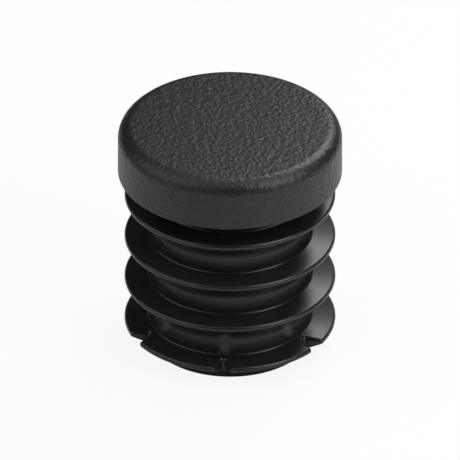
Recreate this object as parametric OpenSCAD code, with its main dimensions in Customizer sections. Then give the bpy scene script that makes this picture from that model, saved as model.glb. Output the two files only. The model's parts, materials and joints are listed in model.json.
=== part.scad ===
// Round ribbed plug that closes the open end of a tube.
// It is one moulding: a head that covers the tube's end, a hollow core that goes into the
// tube, and thin fins round the core that bend against the tube's wall and hold the plug.
// The lowest fin enters first and is notched, so that it folds easily.
// The plug stands on the mouth of its core, with its axis on Z. Sizes are in millimetres.

/* [Head] */
// Diameter of the head, the same as the outside of the tube
head_d = 25; // [22:0.5:40]
// Height of the head above the end of the tube
head_h = 5.85; // [4.5:0.05:12]
// Radius of the head's rounded top edge
head_edge_r = 1.6; // [0.4:0.1:3]
// Radius of the head's lower edge
head_lip_r = 0.15; // [0.05:0.05:0.5]

/* [Core] */
// Outside diameter of the core
core_d = 18.2; // [14:0.1:18.8]
// Wall of the core at its mouth
core_wall = 1.6; // [1:0.1:3]
// Length of straight core below the root of the lowest fin
core_tail = 0.41; // [0.4:0.01:8]
// Radius of the lower outer edge of the core
core_edge_r = 0.3; // [0.1:0.05:0.4]
// Radius in the corner between the core and the head
core_neck_r = 0.3; // [0.1:0.05:0.8]

/* [Hollow] */
// Thickness of the head over the hollow
roof_t = 2.4; // [1.2:0.1:4]
// Draft of the hollow's wall, in degrees, for drawing it off the mould
hollow_draft = 0.5; // [0.2:0.1:2]
// Radius between the hollow's wall and its roof
roof_r = 1; // [0.3:0.1:2]

/* [Fins] */
// Diameter across the fins
fin_d = 23.5; // [22.5:0.1:28]
// Number of fins
fin_count = 4; // [2:1:8]
// From the head's underside to the middle of the first fin's rim
fin_start = 2.95; // [2.2:0.05:8]
// From one fin to the next
fin_pitch = 5.35; // [4.2:0.05:10]
// Thickness of a fin at its rim
fin_rim_t = 0.45; // [0.4:0.05:0.8]
// Slope of a fin's top, up from its rim to the core, in degrees
fin_top_slope = 5; // [1:0.5:10]
// Slope of a fin's underside, down from its rim to the core, in degrees
fin_under_slope = 26; // [8:1:30]
// Radius of the upper edge of a fin's rim
fin_top_edge_r = 0.28; // [0.1:0.02:0.3]
// Radius of the lower edge of a fin's rim
fin_under_edge_r = 0.1; // [0.04:0.01:0.14]
// Radius in the corner between a fin's top and the core
fin_top_r = 0.2; // [0.1:0.05:0.5]
// Radius in the corner between a fin's underside and the core
fin_under_r = 2.4; // [0.5:0.1:2.6]
// Radius in that corner under the lowest fin, where the core soon ends
tail_r = 1; // [0.3:0.1:1.2]

/* [Notches] */
// Number of notches in the lowest fin
notch_count = 6; // [3:1:12]
// Width of a notch at the rim, between its straight sides
notch_w = 2.05; // [1.2:0.05:3]
// Fin left uncut between the tip of a notch and the core
notch_web = 0.8; // [0.65:0.05:1]
// Radius of the tip of a notch
notch_tip_r = 0.3; // [0.1:0.05:0.4]
// Radius of the lips of a notch
notch_lip_r = 0.35; // [0.1:0.05:0.45]
// Direction of the first notch, in degrees from +X
notch_turn = 30; // [0:1:60]

/* [Hidden] */
$fn = 96;

head_r = head_d / 2;
core_r = core_d / 2;
fin_r = fin_d / 2;

// Distance of a sloping face of a fin from the middle of its rim, at a distance r from the axis
function face_z(r, slope) = fin_rim_t / 2 + (fin_r - r) * tan(slope);
// Distance from the middle of the rim of the centre of a rounded edge of radius r at the rim
function edge_z(slope, r) = face_z(fin_r - r, slope) - r / cos(slope);
// Distance from the middle of the rim of the centre of a fillet of radius r at the root
function fillet_z(slope, r) = face_z(core_r + r, slope) + r / cos(slope);
// The two centres and the direction that a face looks in, above (1) or below (-1) the middle
function edge_centre(slope, r, side) = [fin_r - r, side * edge_z(slope, r)];
function fillet_centre(slope, r, side) = [core_r + r, side * fillet_z(slope, r)];
function face_normal(slope, side) = [sin(slope), side * cos(slope)];
// Largest fillet that leaves some of the sloping underside
most_under_r = 0.9 * (fin_r - fin_under_edge_r - core_r) / (1 - sin(fin_under_slope));

// Heights from the mouth of the core
fin_low_z = core_tail + fillet_z(fin_under_slope, tail_r);
fin_top_z = fin_low_z + (fin_count - 1) * fin_pitch;
seat_z = fin_top_z + fin_start;
head_top_z = seat_z + head_h;
roof_z = head_top_z - roof_t;

// The hollow narrows with its draft from the mouth to the roof
mouth_r = core_r - core_wall;
hollow_top_r = mouth_r - roof_z * tan(hollow_draft);

// The roundings of a notch stand this far across the lines that they join, so that the two cross
cross = 0.01;
// Centre of the round tip of a notch, and the distance from it to the straight sides
notch_tip_x = core_r + notch_web + notch_tip_r;
notch_side = notch_tip_r - cross;
// Angle between a side of a notch and the notch's middle line
notch_reach = norm([fin_r - notch_tip_x, notch_w / 2]);
notch_half = atan2(notch_w / 2, fin_r - notch_tip_x) - asin(notch_side / notch_reach);
// Distance from the plug's axis to the centre of a lip, and the angle to it from the middle line
lip_centre_r = fin_r - notch_lip_r + cross;
lip_offset = notch_side + notch_lip_r - cross;
lip_turn = notch_half + asin((lip_offset - notch_tip_x * sin(notch_half)) / lip_centre_r);
// Spare length by which a cut runs past what it cuts, or a piece into what carries it
spare = 0.6;

plug_color = [0.09, 0.09, 0.09];

function polar(r, a) = [r * cos(a), r * sin(a)];

function flip_y(p) = [p[0], -p[1]];

function reverse(list) = [for (i = [len(list) - 1 : -1 : 0]) list[i]];

// Waste outside a rounded square corner at the origin, whose sides run inward to -X,
// and down to -Y for an upper corner or up to +Y for a lower one
module corner_waste(r, upper) {
    difference() {
        square(2 * r, center = true);
        translate([-r, upper ? -r : r]) circle(r);
    }
}

// Filling of an inside square corner at the origin, whose sides run out to +X and down to -Y
module corner_filling(r) {
    difference() {
        translate([-spare, -r]) square([r + spare, r + spare]);
        translate([r, -r]) circle(r);
    }
}

// Half section of the head
module head_section() {
    difference() {
        translate([0, seat_z]) square([head_r, head_h]);
        translate([head_r, head_top_z]) corner_waste(head_edge_r, true);
        translate([head_r, seat_z]) corner_waste(head_lip_r, false);
    }
}

// Half section of the core, up into the head
module core_section() {
    difference() {
        square([core_r, seat_z + spare]);
        translate([core_r, 0]) corner_waste(core_edge_r, false);
    }
    translate([core_r, seat_z]) corner_filling(core_neck_r);
}

// Half section of the hollow, open at the mouth of the core
module hollow_section() {
    run_out = spare * tan(hollow_draft);
    difference() {
        polygon([
            [0, -spare],
            [mouth_r + run_out, -spare],
            [hollow_top_r, roof_z],
            [0, roof_z]
        ]);
        translate([hollow_top_r, roof_z]) hollow_corner();
    }
}

// Plastic left in the hollow's upper corner, with the corner at the origin
module hollow_corner() {
    // The fillet's circle touches the roof and the drafted wall
    centre_x = -roof_r * (1 - sin(hollow_draft)) / cos(hollow_draft);
    difference() {
        polygon([
            [centre_x, 0],
            [centre_x, -roof_r],
            [centre_x, -roof_r] + polar(roof_r, hollow_draft),
            [spare, -roof_r],
            [spare, spare],
            [centre_x, spare]
        ]);
        translate([centre_x, -roof_r]) circle(roof_r);
    }
}

// One half of a fin's outline, from its rim into the core. A side of 1 is above the middle of the
// rim, a side of -1 below it.
function fin_outline(slope, edge_r, root_r, side) = [
    [fin_r, side * edge_z(slope, edge_r)],
    edge_centre(slope, edge_r, side) + edge_r * face_normal(slope, side),
    fillet_centre(slope, root_r, side) - root_r * face_normal(slope, side),
    [core_r, side * fillet_z(slope, root_r)],
    [core_r - spare, side * fillet_z(slope, root_r)]
];

// Half section of one fin with its root fillets, about the middle of its rim
module fin_section(under_r) {
    difference() {
        union() {
            polygon(concat(
                fin_outline(fin_top_slope, fin_top_edge_r, fin_top_r, 1),
                reverse(fin_outline(fin_under_slope, fin_under_edge_r, under_r, -1))
            ));
            translate(edge_centre(fin_top_slope, fin_top_edge_r, 1)) circle(fin_top_edge_r);
            translate(edge_centre(fin_under_slope, fin_under_edge_r, -1)) circle(fin_under_edge_r);
        }
        translate(fillet_centre(fin_top_slope, fin_top_r, 1)) circle(fin_top_r);
        translate(fillet_centre(fin_under_slope, under_r, -1)) circle(under_r);
    }
}

// Half section of the whole moulding
module plug_section() {
    difference() {
        union() {
            head_section();
            core_section();
            translate([0, fin_low_z]) fin_section(tail_r);
            for (i = [1 : fin_count - 1])
                translate([0, fin_low_z + i * fin_pitch]) fin_section(min(fin_under_r, most_under_r));
        }
        hollow_section();
    }
}

// Waste outside a rounded lip of a notch, on the side that the sign gives
module lip_waste(sign) {
    inward = [sin(notch_half), -sign * cos(notch_half)];
    lip = polar(lip_centre_r, sign * lip_turn);
    difference() {
        polygon([
            lip,
            lip + (notch_lip_r + cross) * inward,
            [fin_r + spare, 0],
            polar(fin_r + spare, sign * lip_turn)
        ]);
        translate(lip) circle(notch_lip_r);
    }
}

// Plan of one notch along +X: a V with a round tip and rounded lips
module notch_plan() {
    side = [-sin(notch_half), cos(notch_half)];
    tip = [notch_tip_x, 0];
    start = tip + notch_side * side;
    end = start + (fin_r + spare - start[0]) * [1, tan(notch_half)];
    polygon([start, end, flip_y(end), flip_y(start)]);
    translate(tip) circle(notch_tip_r);
    for (sign = [-1, 1]) lip_waste(sign);
}

// Cuts for the notches through the lowest fin
module notches() {
    for (i = [0 : notch_count - 1])
        rotate(notch_turn + i * 360 / notch_count)
            translate([0, 0, -spare])
                linear_extrude(fin_low_z + fillet_z(fin_top_slope, fin_top_r) + spare) notch_plan();
}

module plug() {
    color(plug_color)
        difference() {
            rotate_extrude() plug_section();
            notches();
        }
}

plug();
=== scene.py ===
"""Ribbed tube plug, moulded in black plastic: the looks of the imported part.

The moulding is one closed mesh, turned from the same section as the solid and notched like it,
with every edge rounded. The head has a fine leather grain, and the core and the fins are smooth.
"""

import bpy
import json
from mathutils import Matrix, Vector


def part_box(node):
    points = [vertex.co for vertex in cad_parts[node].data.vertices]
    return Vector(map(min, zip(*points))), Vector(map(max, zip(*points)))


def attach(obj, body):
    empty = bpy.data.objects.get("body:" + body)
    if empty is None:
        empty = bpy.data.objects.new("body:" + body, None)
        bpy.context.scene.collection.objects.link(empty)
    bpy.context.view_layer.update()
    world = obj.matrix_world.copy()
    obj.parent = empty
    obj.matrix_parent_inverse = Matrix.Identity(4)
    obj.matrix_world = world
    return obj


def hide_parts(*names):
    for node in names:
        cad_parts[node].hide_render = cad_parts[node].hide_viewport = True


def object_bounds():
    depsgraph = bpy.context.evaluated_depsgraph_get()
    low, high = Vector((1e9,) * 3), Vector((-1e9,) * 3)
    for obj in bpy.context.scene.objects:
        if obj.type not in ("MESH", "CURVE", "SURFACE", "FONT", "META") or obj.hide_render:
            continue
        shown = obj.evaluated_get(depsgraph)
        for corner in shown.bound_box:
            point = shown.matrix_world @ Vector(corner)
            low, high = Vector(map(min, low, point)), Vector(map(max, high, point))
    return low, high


bl_info = {
    "name": "Ribbed tube plug",
    "version": (1, 0, 0),
    "blender": (4, 5, 0),
    "location": "View3D > Sidebar > Tube plug",
    "description": "Builds a moulded tube plug with its finishes and a plain studio round it",
    "category": "Add Mesh",
}

import json
import math
from typing import NamedTuple

import bpy
import numpy as np
from mathutils import Vector

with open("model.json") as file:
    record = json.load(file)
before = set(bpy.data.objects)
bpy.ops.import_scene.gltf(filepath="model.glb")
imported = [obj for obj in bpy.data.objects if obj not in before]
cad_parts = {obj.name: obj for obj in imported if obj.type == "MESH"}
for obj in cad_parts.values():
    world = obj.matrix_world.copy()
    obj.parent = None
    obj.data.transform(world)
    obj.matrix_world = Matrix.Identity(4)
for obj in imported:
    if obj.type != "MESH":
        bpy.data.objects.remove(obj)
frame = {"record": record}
cad_low, cad_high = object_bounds()
plug_low, plug_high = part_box("plug")
mounts = {mount["name"]: mount for mount in frame["record"]["mounts"]}

MM = 0.001
QUARTER_TURN = math.pi / 2
FULL_TURN = 2 * math.pi

# Material slots of the moulding
HEAD_SLOT = 0
SHANK_SLOT = 1

# Steps of the mesh along the plan of a notch, from its tip to the middle of the rim beside it
TIP_STEPS = 5
SIDE_STEPS = 5
LIP_STEPS = 7
RIM_STEPS = 17

# Steps of the mesh along the section
FLAT_STEPS = 4
HEAD_EDGE_STEPS = 22
HEAD_SIDE_STEPS = 4
SMALL_EDGE_STEPS = 6
FIN_EDGE_STEPS = 7
FIN_FILLET_STEPS = 10
FIN_SLOPE_STEPS = 3
ROOF_FILLET_STEPS = 8


# Kinds of settings in the panel

def length(name, description, default_mm):
    """A length, given in millimetres and kept in metres."""
    return bpy.props.FloatProperty(
        name=name, description=description, default=default_mm * MM, min=0.0,
        unit="LENGTH", precision=5)


def angle(name, description, default_degrees):
    """An angle, given in degrees and kept in radians."""
    return bpy.props.FloatProperty(
        name=name, description=description, default=math.radians(default_degrees), subtype="ANGLE")


def factor(name, description, default):
    """A share between nothing and all."""
    return bpy.props.FloatProperty(
        name=name, description=description, default=default, min=0.0, max=1.0, subtype="FACTOR")


def colour(name, description, default):
    """A colour, as linear red, green and blue."""
    return bpy.props.FloatVectorProperty(
        name=name, description=description, default=default, min=0.0, max=1.0, subtype="COLOR")


def number(name, description, default, least):
    """A number of like features, with the least that can be built."""
    return bpy.props.IntProperty(name=name, description=description, default=default, min=least)


# Sizes of the moulding

class PlugSizes(bpy.types.PropertyGroup):
    """Sizes of the moulding that the frame doesn't give."""

    head_edge: length("Head edge", "Radius of the head's rounded top edge", 1.6)
    head_lip: length("Head lip", "Radius of the head's lower edge", 0.15)
    core_radius: length("Core radius", "Outside radius of the core", 9.1)
    core_wall: length("Core wall", "Wall of the core at its mouth", 1.6)
    core_edge: length("Core edge", "Radius of the core's lower outer edge", 0.3)
    core_neck: length("Core neck", "Radius in the corner between core and head", 0.3)
    mouth_edge: length("Mouth edge", "Radius of the inner edge of the core's mouth", 0.12)
    roof: length("Roof", "Thickness of the head over the hollow", 2.4)
    roof_fillet: length("Roof fillet", "Radius between the hollow's wall and its roof", 1.0)
    hollow_draft: angle("Hollow draft", "Lean of the hollow's wall", 0.5)
    fin_count: number("Fins", "Number of fins round the core", 4, 2)
    fin_rim: length("Fin rim", "Thickness of a fin at its rim", 0.45)
    fin_top_slope: angle("Fin top slope", "Slope of a fin's top, up from its rim to the core", 5.0)
    fin_under_slope: angle(
        "Fin under slope", "Slope of a fin's underside, down from its rim to the core", 26.0)
    fin_top_shade: angle(
        "Fin top shade", "Slope that a fin's top is shaded with, which its gloss shows", 20.0)
    fin_top_edge: length("Fin top edge", "Radius of the upper edge of a fin's rim", 0.28)
    fin_under_edge: length("Fin under edge", "Radius of the lower edge of a fin's rim", 0.1)
    fin_top_fillet: length("Fin top fillet", "Radius in the corner over a fin", 0.2)
    fin_under_fillet: length("Fin under fillet", "Radius in the corner under a fin", 2.4)
    tail_fillet: length("Tail fillet", "Radius in the corner under the lowest fin", 1.0)
    notch_count: number("Notches", "Number of notches in the lowest fin", 6, 1)
    notch_width: length("Notch width", "Width of a notch at the rim, between its sides", 2.05)
    notch_web: length("Notch web", "Fin left between a notch's tip and the core", 0.8)
    notch_tip: length("Notch tip", "Radius of a notch's tip", 0.3)
    notch_lip: length("Notch lip", "Radius of a notch's lips", 0.35)
    notch_edge: length("Notch edge", "Radius of a notch's upper edge", 0.36)
    notch_turn: angle("Notch turn", "Direction of the first notch", 30.0)


class FinFace:
    """Upper or lower face of a fin: its slope, the rounding at its rim and the fillet at its root.

    Heights are measured from the middle of the rim, upward for a side of 1 and downward for -1.
    The normals lean as on a face with the slope that shade gives, and the points don't.
    """

    def __init__(self, section, side, slope, edge, notch_edge, fillet, shade):
        sizes = section.sizes
        self.side = side
        self.slope = slope
        self.steep = QUARTER_TURN - slope
        self.shading = (QUARTER_TURN - shade) / self.steep
        self.edge = edge
        self.notch_edge = notch_edge
        self.fillet = fillet
        self.rim_r = section.fin_r
        self.rim_half = sizes.fin_rim / 2
        self.edge_r = section.fin_r - edge
        self.edge_z = self.slope_height(self.edge_r) - edge / math.cos(slope)
        self.fillet_r = sizes.core_radius + fillet
        self.fillet_z = self.slope_height(self.fillet_r) + fillet / math.cos(slope)
        self.slope_root_r = self.fillet_r - fillet * math.sin(slope)
        self.slope_rim_r = self.edge_r + edge * math.sin(slope)

    def slope_height(self, radius):
        """Distance of the sloping part from the middle of the rim, at a distance from the axis."""
        return self.rim_half + (self.rim_r - radius) * math.tan(self.slope)

    def tilt(self, radius):
        """Tilt of the face from level, which grows in the fillet from the slope to upright."""
        return np.arcsin(np.clip((self.fillet_r - radius) / self.fillet, math.sin(self.slope), 1.0))

    def height(self, radius):
        """Distance of the sloping part or of the fillet from the middle of the rim."""
        in_fillet = self.fillet_z - self.fillet * np.cos(self.tilt(radius))
        return np.where(radius < self.slope_root_r, in_fillet, self.slope_height(radius))

    def rows(self, core_r):
        """Shares of the way from the core to the rim at which the face has its rows."""
        tilts = np.linspace(QUARTER_TURN, self.slope, FIN_FILLET_STEPS + 1)
        slope_radii = np.linspace(self.slope_root_r, self.slope_rim_r, FIN_SLOPE_STEPS + 1)[1:-1]
        radii = np.concatenate([self.fillet_r - self.fillet * np.sin(tilts), slope_radii])
        return (radii - core_r) / (self.slope_rim_r - core_r)


class PlugSection:
    """Radii and heights of the section, from the frame's mounts and the sizes in the panel."""

    def __init__(self, sizes):
        self.sizes = sizes
        self.head_r = (plug_high.x - plug_low.x) / 2
        self.top_z = mounts["outer_face"]["pos_m"][2]
        self.seat_z = mounts["tube_end_seat"]["pos_m"][2]
        self.mouth_z = mounts["core_mouth"]["pos_m"][2]
        self.roof_z = self.top_z - sizes.roof
        self.mouth_r = sizes.core_radius - sizes.core_wall
        self.hollow_top_r = self.mouth_r - (self.roof_z - self.mouth_z) * math.tan(sizes.hollow_draft)
        self.fin_r = mounts["fin_rims"]["dims"]["r_mm"] * MM
        top = (1, sizes.fin_top_slope, sizes.fin_top_edge, sizes.notch_edge)
        under = (-1, sizes.fin_under_slope, sizes.fin_under_edge, sizes.fin_under_edge)
        self.fin_top = FinFace(self, *top, sizes.fin_top_fillet, sizes.fin_top_shade)
        self.fin_underside = FinFace(self, *under, sizes.fin_under_fillet, sizes.fin_under_slope)
        self.lowest_underside = FinFace(self, *under, sizes.tail_fillet, sizes.fin_under_slope)

    def fin_heights(self):
        """Heights of the middles of the rims of the fins, from the uppermost down."""
        rims = mounts["fin_rims"]
        half_run = rims["dims"]["length_mm"] * MM / 2
        highest = rims["pos_m"][2] + half_run - self.fin_top.edge_z
        lowest = rims["pos_m"][2] - half_run + self.fin_underside.edge_z
        return np.linspace(highest, lowest, self.sizes.fin_count)


# Plan of the lowest fin

def polar(radius, turn):
    """Points in plan at a distance and a turn from +X."""
    return np.stack([radius * np.cos(turn), radius * np.sin(turn)], axis=-1)


def from_axis(plan):
    """Distances of points in plan from the axis."""
    return np.linalg.norm(plan, axis=1)


def notch_half_plan(section):
    """Plan from the middle of a notch along +X to the middle of the rim beside it.

    Gives the points, and the directions in which the edge of the fin faces there.
    """
    sizes = section.sizes
    tip_x = sizes.core_radius + sizes.notch_web + sizes.notch_tip
    tip_to_rim = section.fin_r - tip_x
    half_width = sizes.notch_width / 2
    reach = math.hypot(tip_to_rim, half_width)
    side_turn = math.atan2(half_width, tip_to_rim) - math.asin(sizes.notch_tip / reach)
    lip_centre_r = section.fin_r - sizes.notch_lip
    lip_offset = sizes.notch_tip + sizes.notch_lip
    lip_turn = side_turn + math.asin((lip_offset - tip_x * math.sin(side_turn)) / lip_centre_r)
    rim_middle = math.pi / sizes.notch_count
    tip_centre = np.array([tip_x, 0.0])
    lip_centre = polar(lip_centre_r, lip_turn)
    side_faces = side_turn - QUARTER_TURN

    tip_faces = np.linspace(0.0, side_faces, TIP_STEPS + 1)
    lip_faces = np.linspace(side_faces, lip_turn, LIP_STEPS + 1)
    rim_faces = np.linspace(lip_turn, rim_middle, RIM_STEPS + 1)[1:]
    tip_points = tip_centre - sizes.notch_tip * polar(1.0, tip_faces)
    lip_points = lip_centre + sizes.notch_lip * polar(1.0, lip_faces)
    along = np.linspace(0.0, 1.0, SIDE_STEPS + 1)[1:-1, None]
    side_points = tip_points[-1] + along * (lip_points[0] - tip_points[-1])
    side_face_run = np.full(SIDE_STEPS - 1, side_faces)

    points = np.concatenate([tip_points, side_points, lip_points, polar(section.fin_r, rim_faces)])
    faces = np.concatenate([tip_faces, side_face_run, lip_faces, rim_faces])
    return points, polar(1.0, faces)


def notched_plan(section):
    """Whole plan of the notched fin as points and facing directions, one for each column."""
    points, faces = notch_half_plan(section)
    other_side = np.array([1.0, -1.0])
    points = np.concatenate([points[:0:-1] * other_side, points[:-1]])
    faces = np.concatenate([faces[:0:-1] * other_side, faces[:-1]])
    all_points = []
    all_faces = []
    for i in range(section.sizes.notch_count):
        turn = section.sizes.notch_turn + i * FULL_TURN / section.sizes.notch_count
        spin = np.array([[math.cos(turn), math.sin(turn)], [-math.sin(turn), math.cos(turn)]])
        all_points.append(points @ spin)
        all_faces.append(faces @ spin)
    return np.concatenate(all_points), np.concatenate(all_faces)


# Turned mesh of the moulding

class Turning:
    """Rows of points and normals from the top of the moulding round to the roof of its hollow."""

    def __init__(self, columns):
        self.columns = columns
        self.points = []
        self.normals = []
        self.slots = []
        self.slot = HEAD_SLOT
        self.shading = 1.0

    def row(self, plan, heights, plan_normals, rises):
        """Adds a row from its plan and heights, and the plan and rise of its normals."""
        heights = np.broadcast_to(heights, len(self.columns))
        rises = np.broadcast_to(rises, len(self.columns))
        self.points.append(np.column_stack([plan, heights]))
        self.normals.append(np.column_stack([plan_normals, rises]))
        self.slots.append(self.slot)

    def ring(self, radius, height, lean):
        """Adds a round row, whose normal leans up from the outward direction."""
        shaded = lean * self.shading
        self.row(radius * self.columns, height, math.cos(shaded) * self.columns, math.sin(shaded))

    def edge(self, centre_r, centre_z, radius, first, last, steps):
        """Adds the rows of a rounded edge, from one lean of its normal to another."""
        for lean in np.linspace(first, last, steps + 1):
            self.ring(centre_r + radius * math.cos(lean), centre_z + radius * math.sin(lean), lean)

    def fillet(self, centre_r, centre_z, radius, first, last, steps):
        """Adds the rows of a filled corner, whose surface faces the centre of its arc."""
        for lean in np.linspace(first, last, steps + 1):
            self.ring(centre_r - radius * math.cos(lean), centre_z - radius * math.sin(lean), lean)

    def straight(self, start, end, lean, steps):
        """Adds the rows between two ends of a straight run of the section, without the ends."""
        for share in np.linspace(0.0, 1.0, steps + 1)[1:-1]:
            radius = start[0] + share * (end[0] - start[0])
            height = start[1] + share * (end[1] - start[1])
            self.ring(radius, height, lean)

    def mesh(self, name, top_z, roof_z):
        """Closes the rows with a point on the axis at each end, and gives the mesh."""
        count = len(self.columns)
        rows = len(self.points)
        top = rows * count
        roof = top + 1
        points = np.concatenate(self.points + [[[0.0, 0.0, top_z], [0.0, 0.0, roof_z]]])
        normals = np.concatenate(self.normals + [[[0.0, 0.0, 1.0], [0.0, 0.0, -1.0]]])
        here = np.arange(count)
        beside = np.roll(here, -1)
        faces = []
        slots = []
        for i in range(rows - 1):
            upper = i * count
            lower = upper + count
            band = np.column_stack([upper + here, lower + here, lower + beside, upper + beside])
            faces.extend(band.tolist())
            slots.extend([self.slots[i + 1]] * count)
        last = (rows - 1) * count
        pairs = list(zip(here.tolist(), beside.tolist()))
        faces.extend([top, a, b] for a, b in pairs)
        slots.extend([self.slots[0]] * count)
        faces.extend([roof, last + b, last + a] for a, b in pairs)
        slots.extend([self.slots[-1]] * count)
        mesh = bpy.data.meshes.new(name)
        mesh.from_pydata(points.tolist(), [], faces)
        mesh.polygons.foreach_set("material_index", slots)
        mesh.shade_smooth()
        mesh.normals_split_custom_set_from_vertices(normals.tolist())
        mesh.update()
        return mesh


def turn_head(turning, section):
    """Head: a flat top, its rounded edge, the side and the lower lip, then the plain underside."""
    sizes = section.sizes
    up = QUARTER_TURN
    flat_r = section.head_r - sizes.head_edge
    edge_z = section.top_z - sizes.head_edge
    lip_r = section.head_r - sizes.head_lip
    lip_z = section.seat_z + sizes.head_lip
    neck_r = sizes.core_radius + sizes.core_neck
    neck_z = section.seat_z - sizes.core_neck
    turning.slot = HEAD_SLOT
    turning.straight((0.0, section.top_z), (flat_r, section.top_z), up, FLAT_STEPS)
    turning.edge(flat_r, edge_z, sizes.head_edge, up, 0.0, HEAD_EDGE_STEPS)
    turning.straight((section.head_r, edge_z), (section.head_r, lip_z), 0.0, HEAD_SIDE_STEPS)
    turning.edge(lip_r, lip_z, sizes.head_lip, 0.0, -up, SMALL_EDGE_STEPS)
    turning.slot = SHANK_SLOT
    turning.fillet(neck_r, neck_z, sizes.core_neck, -up, 0.0, SMALL_EDGE_STEPS)


def fillet_rows(turning, face, middle, first, last):
    """Rows of the corner between one face of a fin and the core."""
    centre_z = middle + face.side * face.fillet_z
    turning.fillet(face.fillet_r, centre_z, face.fillet, first, last, FIN_FILLET_STEPS)


def slope_rows(turning, face, middle, from_root):
    """Rows of the sloping part of one face of a fin, from its root or from its rim."""
    root = (face.slope_root_r, middle + face.side * face.slope_height(face.slope_root_r))
    rim = (face.slope_rim_r, middle + face.side * face.slope_height(face.slope_rim_r))
    start, end = (root, rim) if from_root else (rim, root)
    turning.straight(start, end, face.side * face.steep, FIN_SLOPE_STEPS)


def turn_fin(turning, section, middle):
    """One round fin with its root fillets and rounded rim."""
    top = section.fin_top
    under = section.fin_underside
    turning.shading = top.shading
    fillet_rows(turning, top, middle, 0.0, top.steep)
    slope_rows(turning, top, middle, True)
    turning.edge(top.edge_r, middle + top.edge_z, top.edge, top.steep, 0.0, FIN_EDGE_STEPS)
    turning.shading = under.shading
    turning.edge(under.edge_r, middle - under.edge_z, under.edge, 0.0, -under.steep, FIN_EDGE_STEPS)
    slope_rows(turning, under, middle, False)
    fillet_rows(turning, under, middle, -under.steep, 0.0)


def notched_edge(section, face, plan, plan_faces, middle):
    """Rows of the rounded edge of the notched fin, from the end of its face to the rim's middle.

    The edge is rounded along the notches too, with a radius of its own past their lips.
    """
    depth = section.fin_r - from_axis(plan)
    past_lip = np.clip(depth / section.sizes.notch_lip - 1.0, 0.0, 1.0)
    edge = face.edge + past_lip * (face.notch_edge - face.edge)
    centres = plan - edge[:, None] * plan_faces
    centre_r = from_axis(centres)
    outward = centres / centre_r[:, None]
    tilt = face.tilt(centre_r)
    centre_z = face.height(centre_r) - edge / np.cos(tilt)
    steepest = QUARTER_TURN - tilt * np.sum(plan_faces * outward, axis=1)
    rows = []
    for share in np.linspace(1.0, 0.0, FIN_EDGE_STEPS + 1):
        lean = steepest * share
        shaded = lean * face.shading
        flat = np.cos(lean)[:, None] * plan_faces
        shaded_flat = np.cos(shaded)[:, None] * plan_faces
        edge_plan = centres + edge[:, None] * flat
        heights = middle + face.side * (centre_z + edge * np.sin(lean))
        rows.append((edge_plan, heights, shaded_flat, face.side * np.sin(shaded)))
    return rows


def notched_face(section, face, plan, plan_faces, middle):
    """Rows of one face of the notched fin, from its root to the middle of its edge."""
    core_r = section.sizes.core_radius
    edge_rows = notched_edge(section, face, plan, plan_faces, middle)
    rim = edge_rows[0][0]
    root = core_r * plan / from_axis(plan)[:, None]
    face_rows = []
    for share in face.rows(core_r):
        row_plan = root + share * (rim - root)
        radius = from_axis(row_plan)
        shaded = (QUARTER_TURN - face.tilt(radius)) * face.shading
        heights = middle + face.side * face.height(radius)
        flat = np.cos(shaded)[:, None] * row_plan / radius[:, None]
        face_rows.append((row_plan, heights, flat, face.side * np.sin(shaded)))
    return face_rows + edge_rows


def turn_notched_fin(turning, section, middle, plan, plan_faces):
    """The lowest fin, with its notches."""
    for row in notched_face(section, section.fin_top, plan, plan_faces, middle):
        turning.row(*row)
    for row in reversed(notched_face(section, section.lowest_underside, plan, plan_faces, middle)):
        turning.row(*row)


def turn_hollow(turning, section):
    """The core's lower end, its mouth and the drafted hollow up to its roof."""
    sizes = section.sizes
    draft = sizes.hollow_draft
    down = -QUARTER_TURN
    inward = draft - math.pi
    reach = (1 - math.sin(draft)) / math.cos(draft)
    edge_r = sizes.core_radius - sizes.core_edge
    edge_z = section.mouth_z + sizes.core_edge
    mouth_r = section.mouth_r + sizes.mouth_edge * reach
    mouth_z = section.mouth_z + sizes.mouth_edge
    roof_r = section.hollow_top_r - sizes.roof_fillet * reach
    roof_z = section.roof_z - sizes.roof_fillet
    turning.edge(edge_r, edge_z, sizes.core_edge, 0.0, down, SMALL_EDGE_STEPS)
    turning.edge(mouth_r, mouth_z, sizes.mouth_edge, down, inward, SMALL_EDGE_STEPS)
    turning.fillet(roof_r, roof_z, sizes.roof_fillet, inward, down, ROOF_FILLET_STEPS)


# Finishes

class PlugFinish(bpy.types.PropertyGroup):
    """Colour and surface of the black plastic."""

    plastic: colour("Plastic", "Colour of the black plastic", (0.0105, 0.0105, 0.0108))
    head_roughness: factor("Head roughness", "Roughness of the grained head", 0.42)
    shank_roughness: factor("Shank roughness", "Roughness of core and fins", 0.29)
    gloss: factor("Gloss", "Specular level of the plastic", 0.45)
    grain_size: length("Grain size", "Width of a pebble of the head's leather grain", 0.43)
    grain_depth: length("Grain depth", "Depth of the head's leather grain", 0.057)


class Surface(NamedTuple):
    """A surface of the plastic: its roughness, the drift of its skin and its grain, in metres."""

    roughness: float
    skin_size: float
    skin_drift: float
    grain_size: float
    grain_warp: float
    grain_depth: float


NOISE_MIDDLE = 0.5


def wire(tree, source, target):
    """Joins an output socket to an input socket."""
    tree.links.new(source, target)


def math_node(tree, operation, first, second):
    """A maths node with two inputs, each a socket or a number."""
    node = tree.nodes.new("ShaderNodeMath")
    node.operation = operation
    for i, value in enumerate((first, second)):
        if isinstance(value, bpy.types.NodeSocket):
            wire(tree, value, node.inputs[i])
        else:
            node.inputs[i].default_value = value
    return node.outputs[0]


def vector_node(tree, operation, first, second_input, second):
    """A vector maths node with two sockets wired to it, the second to the input that is given."""
    node = tree.nodes.new("ShaderNodeVectorMath")
    node.operation = operation
    wire(tree, first, node.inputs[0])
    wire(tree, second, node.inputs[second_input])
    return node.outputs["Vector"]


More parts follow.
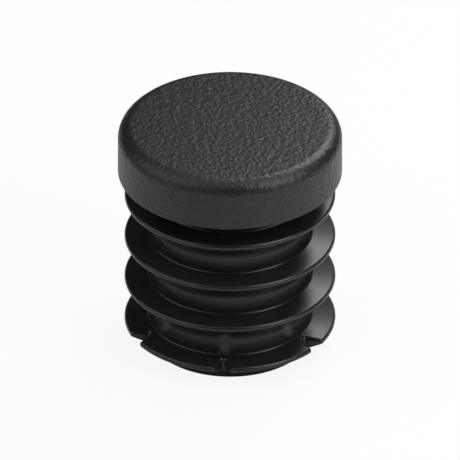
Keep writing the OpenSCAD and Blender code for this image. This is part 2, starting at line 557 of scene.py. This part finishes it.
def noise_node(tree, place, scale, detail, roughness):
    """A noise texture at a place, with its scale in turns to one unit of that place."""
    node = tree.nodes.new("ShaderNodeTexNoise")
    node.inputs["Scale"].default_value = scale
    node.inputs["Detail"].default_value = detail
    node.inputs["Roughness"].default_value = roughness
    wire(tree, place, node.inputs["Vector"])
    return node


def new_group(name, inputs, outputs):
    """An empty shader node group with float sockets; gives the tree, its inputs and its outputs."""
    tree = bpy.data.node_groups.new(name, "ShaderNodeTree")
    for socket_name, default in inputs:
        socket = tree.interface.new_socket(socket_name, in_out="INPUT", socket_type="NodeSocketFloat")
        socket.default_value = default
    for socket_name in outputs:
        tree.interface.new_socket(socket_name, in_out="OUTPUT", socket_type="NodeSocketFloat")
    entry = tree.nodes.new("NodeGroupInput")
    leave = tree.nodes.new("NodeGroupOutput")
    return tree, entry, leave


def moulded_skin_group():
    """Group for the skin of a moulding: faint drift of its colour and its gloss."""
    tree, entry, leave = new_group(
        "Moulded skin", [("Size", 1.0 * MM), ("Roughness", 0.4), ("Drift", 0.1)], ["Tone", "Roughness"])
    coordinates = tree.nodes.new("ShaderNodeTexCoord")
    scale = math_node(tree, "DIVIDE", 1.0, entry.outputs["Size"])
    noise = noise_node(tree, coordinates.outputs["Object"], scale=1.0, detail=4.0, roughness=0.6)
    wire(tree, scale, noise.inputs["Scale"])
    centred = math_node(tree, "SUBTRACT", noise.outputs["Fac"], NOISE_MIDDLE)
    swing = math_node(tree, "MULTIPLY", centred, entry.outputs["Drift"])
    tone = math_node(tree, "ADD", swing, 1.0)
    rough = math_node(tree, "MULTIPLY", tone, entry.outputs["Roughness"])
    wire(tree, tone, leave.inputs["Tone"])
    wire(tree, rough, leave.inputs["Roughness"])
    return tree


def leather_grain_group():
    """Group for a leather grain: rounded pebbles of uneven size, warped out of line."""
    tree, entry, leave = new_group("Leather grain", [("Size", 0.4 * MM), ("Warp", 0.5)], ["Height"])
    coordinates = tree.nodes.new("ShaderNodeTexCoord")
    scale = math_node(tree, "DIVIDE", 1.0, entry.outputs["Size"])
    place = vector_node(tree, "SCALE", coordinates.outputs["Object"], "Scale", scale)
    drift = noise_node(tree, place, scale=0.7, detail=2.0, roughness=0.5)
    push = vector_node(tree, "SCALE", drift.outputs["Color"], "Scale", entry.outputs["Warp"])
    warped = vector_node(tree, "ADD", place, 1, push)
    pebbles = tree.nodes.new("ShaderNodeTexVoronoi")
    pebbles.feature = "SMOOTH_F1"
    pebbles.inputs["Scale"].default_value = 1.0
    pebbles.inputs["Smoothness"].default_value = 0.8
    wire(tree, warped, pebbles.inputs["Vector"])
    swell = noise_node(tree, place, scale=0.5, detail=1.0, roughness=0.5)
    domes = math_node(tree, "SUBTRACT", 1.0, pebbles.outputs["Distance"])
    height = math_node(tree, "ADD", domes, swell.outputs["Fac"])
    wire(tree, height, leave.inputs["Height"])
    return tree


def group_node(tree, group, values):
    """Places a group in a material with its own values."""
    node = tree.nodes.new("ShaderNodeGroup")
    node.node_tree = group
    for name, value in values.items():
        node.inputs[name].default_value = value
    return node


def plastic_material(name, finish, surface, skin_group, grain_group):
    """Black plastic with a moulded skin and a grain."""
    material = bpy.data.materials.new(name)
    material.use_nodes = True
    tree = material.node_tree
    shader = tree.nodes["Principled BSDF"]
    shader.inputs["Specular IOR Level"].default_value = finish.gloss
    skin = group_node(tree, skin_group, {
        "Size": surface.skin_size, "Roughness": surface.roughness, "Drift": surface.skin_drift})
    tint = tree.nodes.new("ShaderNodeMix")
    tint.data_type = "RGBA"
    tint.blend_type = "MULTIPLY"
    tint.inputs["Factor"].default_value = 1.0
    colour_in = [socket for socket in tint.inputs if socket.type == "RGBA"]
    colour_in[0].default_value = (*finish.plastic, 1.0)
    wire(tree, skin.outputs["Tone"], colour_in[1])
    colour_out = [socket for socket in tint.outputs if socket.type == "RGBA"]
    wire(tree, colour_out[0], shader.inputs["Base Color"])
    wire(tree, skin.outputs["Roughness"], shader.inputs["Roughness"])
    grain = group_node(tree, grain_group, {"Size": surface.grain_size, "Warp": surface.grain_warp})
    bump = tree.nodes.new("ShaderNodeBump")
    bump.inputs["Strength"].default_value = 1.0
    bump.inputs["Distance"].default_value = surface.grain_depth
    wire(tree, grain.outputs["Height"], bump.inputs["Height"])
    wire(tree, bump.outputs["Normal"], shader.inputs["Normal"])
    return material


def head_material(finish, skin_group, grain_group):
    """Grained plastic of the head."""
    surface = Surface(
        roughness=finish.head_roughness, skin_size=3.0 * MM, skin_drift=0.15,
        grain_size=finish.grain_size, grain_warp=0.6, grain_depth=finish.grain_depth)
    return plastic_material("Grained black plastic", finish, surface, skin_group, grain_group)


def shank_material(finish, skin_group, grain_group):
    """Smooth satin plastic of the core, the fins and the underside of the head."""
    surface = Surface(
        roughness=finish.shank_roughness, skin_size=1.5 * MM, skin_drift=0.2,
        grain_size=1.2 * MM, grain_warp=0.8, grain_depth=0.004 * MM)
    return plastic_material("Smooth black plastic", finish, surface, skin_group, grain_group)


class TUBEPLUG_OT_moulding(bpy.types.Operator):
    """Build the plug's moulding with its two finishes"""

    bl_idname = "tube_plug.moulding"
    bl_label = "Moulding"

    def execute(self, context):
        settings = context.scene.tube_plug
        section = PlugSection(settings.sizes)
        plan, plan_faces = notched_plan(section)
        columns = plan / from_axis(plan)[:, None]
        turning = Turning(columns)
        turn_head(turning, section)
        fin_heights = section.fin_heights()
        for middle in fin_heights[:-1]:
            turn_fin(turning, section, middle)
        turn_notched_fin(turning, section, fin_heights[-1], plan, plan_faces)
        turn_hollow(turning, section)
        mesh = turning.mesh("plug_moulding", section.top_z, section.roof_z)
        skin_group = moulded_skin_group()
        grain_group = leather_grain_group()
        mesh.materials.append(head_material(settings.finish, skin_group, grain_group))
        mesh.materials.append(shank_material(settings.finish, skin_group, grain_group))
        piece = bpy.data.objects.new("plug_moulding", mesh)
        context.scene.collection.objects.link(piece)
        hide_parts("plug")
        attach(piece, "root")
        return {"FINISHED"}


# Stage

class PlugStage(bpy.types.PropertyGroup):
    """Camera, floor and light."""

    view_turn: angle("View turn", "Turn of the camera round the plug", 4.2)
    view_rise: angle("View rise", "Height of the camera above the horizon", 32.0)
    view_width: length("View width", "Width of the picture at the plug", 51.24)
    view_height: length("View height", "Height on the plug's axis that the camera looks at", 13.73)
    floor_colour: colour("Floor", "Colour of the floor", (0.92, 0.92, 0.92))
    room_light: factor("Room light", "Level of the dim room round the softboxes", 0.02)


class Softbox(NamedTuple):
    """A soft lamp: where it stands and how large it looks from the plug, in degrees, and its level."""

    name: str
    turn: float
    rise: float
    wide: float
    high: float
    level: float


SOFTBOXES = (
    Softbox("back_right_box", turn=151.0, rise=49.0, wide=28.0, high=30.0, level=5.2),
    Softbox("right_box", turn=58.0, rise=41.0, wide=30.0, high=46.0, level=3.8),
    Softbox("left_box", turn=294.0, rise=40.0, wide=60.0, high=46.0, level=1.2),
    Softbox("back_box", turn=166.0, rise=37.0, wide=30.0, high=40.0, level=0.38),
    Softbox("top_box", turn=0.0, rise=90.0, wide=48.0, high=48.0, level=0.8),
)

# Distances from the plug and the floor's radius, in metres
SOFTBOX_DISTANCE = 0.18
CAMERA_DISTANCE = 0.4
FLOOR_RADIUS = 1.0
FLOOR_SIDES = 64

# Shares of plain white in the floor and the room, as the camera sees them and as the plug mirrors them
FLOOR_WHITE_SEEN = 0.9
ROOM_WHITE_SEEN = 1.0
WHITE_MIRRORED = 0.03
WHITE = (1.0, 1.0, 1.0, 1.0)


def direction(turn, rise):
    """Unit vector to a place round the plug; a turn of zero is the front, at -Y."""
    return Vector((math.sin(turn) * math.cos(rise), -math.cos(turn) * math.cos(rise), math.sin(rise)))


def white_share(tree, seen):
    """Share of plain white in a background: large to the camera, small in what the plug mirrors."""
    path = tree.nodes.new("ShaderNodeLightPath").outputs
    mirrored = math_node(tree, "MAXIMUM", path["Is Glossy Ray"], path["Is Transmission Ray"])
    seen_share = math_node(tree, "MULTIPLY", path["Is Camera Ray"], seen)
    mirrored_share = math_node(tree, "MULTIPLY", mirrored, WHITE_MIRRORED)
    return math_node(tree, "MAXIMUM", seen_share, mirrored_share)


def dim_room(stage):
    """World of a dim, even room round the softboxes, white where the camera sees it."""
    world = bpy.data.worlds.new("Dim room")
    world.use_nodes = True
    tree = world.node_tree
    background = tree.nodes["Background"]
    background.inputs["Color"].default_value = WHITE
    level = math_node(tree, "MAXIMUM", white_share(tree, ROOM_WHITE_SEEN), stage.room_light)
    wire(tree, level, background.inputs["Strength"])
    return world


def softbox(context, box):
    """Rectangular lamp that faces the plug and isn't seen by the camera."""
    data = bpy.data.lights.new(box.name, "AREA")
    data.shape = "RECTANGLE"
    data.size = 2 * SOFTBOX_DISTANCE * math.tan(math.radians(box.wide) / 2)
    data.size_y = 2 * SOFTBOX_DISTANCE * math.tan(math.radians(box.high) / 2)
    data.energy = box.level * math.pi * data.size * data.size_y
    lamp = bpy.data.objects.new(box.name, data)
    toward = direction(math.radians(box.turn), math.radians(box.rise))
    lamp.location = SOFTBOX_DISTANCE * toward
    lamp.rotation_euler = toward.to_track_quat("Z", "Y").to_euler()
    lamp.visible_camera = False
    context.scene.collection.objects.link(lamp)


def floor_material(stage):
    """Pale floor, nearly white to the camera, that keeps a part of the plug's shadow."""
    material = bpy.data.materials.new("Pale floor")
    material.use_nodes = True
    tree = material.node_tree
    shader = tree.nodes["Principled BSDF"]
    shader.inputs["Base Color"].default_value = (*stage.floor_colour, 1.0)
    shader.inputs["Roughness"].default_value = 1.0
    shader.inputs["Specular IOR Level"].default_value = 0.0
    white = tree.nodes.new("ShaderNodeEmission")
    white.inputs["Strength"].default_value = 1.0
    mix = tree.nodes.new("ShaderNodeMixShader")
    wire(tree, white_share(tree, FLOOR_WHITE_SEEN), mix.inputs["Fac"])
    wire(tree, shader.outputs["BSDF"], mix.inputs[1])
    wire(tree, white.outputs["Emission"], mix.inputs[2])
    wire(tree, mix.outputs["Shader"], tree.nodes["Material Output"].inputs["Surface"])
    return material


def pale_floor(context, stage):
    """Round floor under the plug."""
    turns = np.linspace(0.0, FULL_TURN, FLOOR_SIDES, endpoint=False)
    rim = polar(FLOOR_RADIUS, turns)
    points = np.column_stack([rim, np.full(FLOOR_SIDES, cad_low.z)])
    mesh = bpy.data.meshes.new("floor")
    mesh.from_pydata(points.tolist(), [], [list(range(FLOOR_SIDES))])
    mesh.materials.append(floor_material(stage))
    floor = bpy.data.objects.new("floor", mesh)
    context.scene.collection.objects.link(floor)


def photo_camera(context, stage):
    """Camera without perspective, at the photograph's angle."""
    data = bpy.data.cameras.new("photo_camera")
    data.type = "ORTHO"
    data.ortho_scale = stage.view_width
    camera = bpy.data.objects.new("photo_camera", data)
    back = direction(stage.view_turn, stage.view_rise)
    camera.location = Vector((0.0, 0.0, stage.view_height)) + CAMERA_DISTANCE * back
    camera.rotation_euler = (-back).to_track_quat("-Z", "Y").to_euler()
    context.scene.collection.objects.link(camera)
    context.scene.camera = camera


class TUBEPLUG_OT_stage(bpy.types.Operator):
    """Set up the floor, the light and the camera"""

    bl_idname = "tube_plug.stage"
    bl_label = "Stage"

    def execute(self, context):
        stage = context.scene.tube_plug.stage
        context.scene.world = dim_room(stage)
        for box in SOFTBOXES:
            softbox(context, box)
        pale_floor(context, stage)
        photo_camera(context, stage)
        context.scene.view_settings.view_transform = "Standard"
        return {"FINISHED"}


# Panel and registration

class PlugSettings(bpy.types.PropertyGroup):
    """Everything that the panel can set."""

    sizes: bpy.props.PointerProperty(type=PlugSizes)
    finish: bpy.props.PointerProperty(type=PlugFinish)
    stage: bpy.props.PointerProperty(type=PlugStage)


class TUBEPLUG_PT_sidebar(bpy.types.Panel):
    """Sizes, finishes and stage of the plug"""

    bl_idname = "TUBEPLUG_PT_sidebar"
    bl_label = "Tube plug"
    bl_space_type = "VIEW_3D"
    bl_region_type = "UI"
    bl_category = "Tube plug"

    def draw(self, context):
        settings = context.scene.tube_plug
        for group, operator in (
                (settings.sizes, None),
                (settings.finish, TUBEPLUG_OT_moulding.bl_idname),
                (settings.stage, TUBEPLUG_OT_stage.bl_idname)):
            column = self.layout.column()
            for name in group.__annotations__:
                column.prop(group, name)
            if operator:
                column.operator(operator)


CLASSES = (
    PlugSizes,
    PlugFinish,
    PlugStage,
    PlugSettings,
    TUBEPLUG_OT_moulding,
    TUBEPLUG_OT_stage,
    TUBEPLUG_PT_sidebar,
)


def register():
    """Registers the classes and hangs the settings on the scene."""
    for cls in CLASSES:
        bpy.utils.register_class(cls)
    bpy.types.Scene.tube_plug = bpy.props.PointerProperty(type=PlugSettings)


def unregister():
    """Takes the settings and the classes away again."""
    del bpy.types.Scene.tube_plug
    for cls in reversed(CLASSES):
        bpy.utils.unregister_class(cls)


def main():
    """Builds the plug and its stage."""
    register()
    bpy.ops.tube_plug.moulding()
    bpy.ops.tube_plug.stage()


if __name__ == "__main__":
    main()
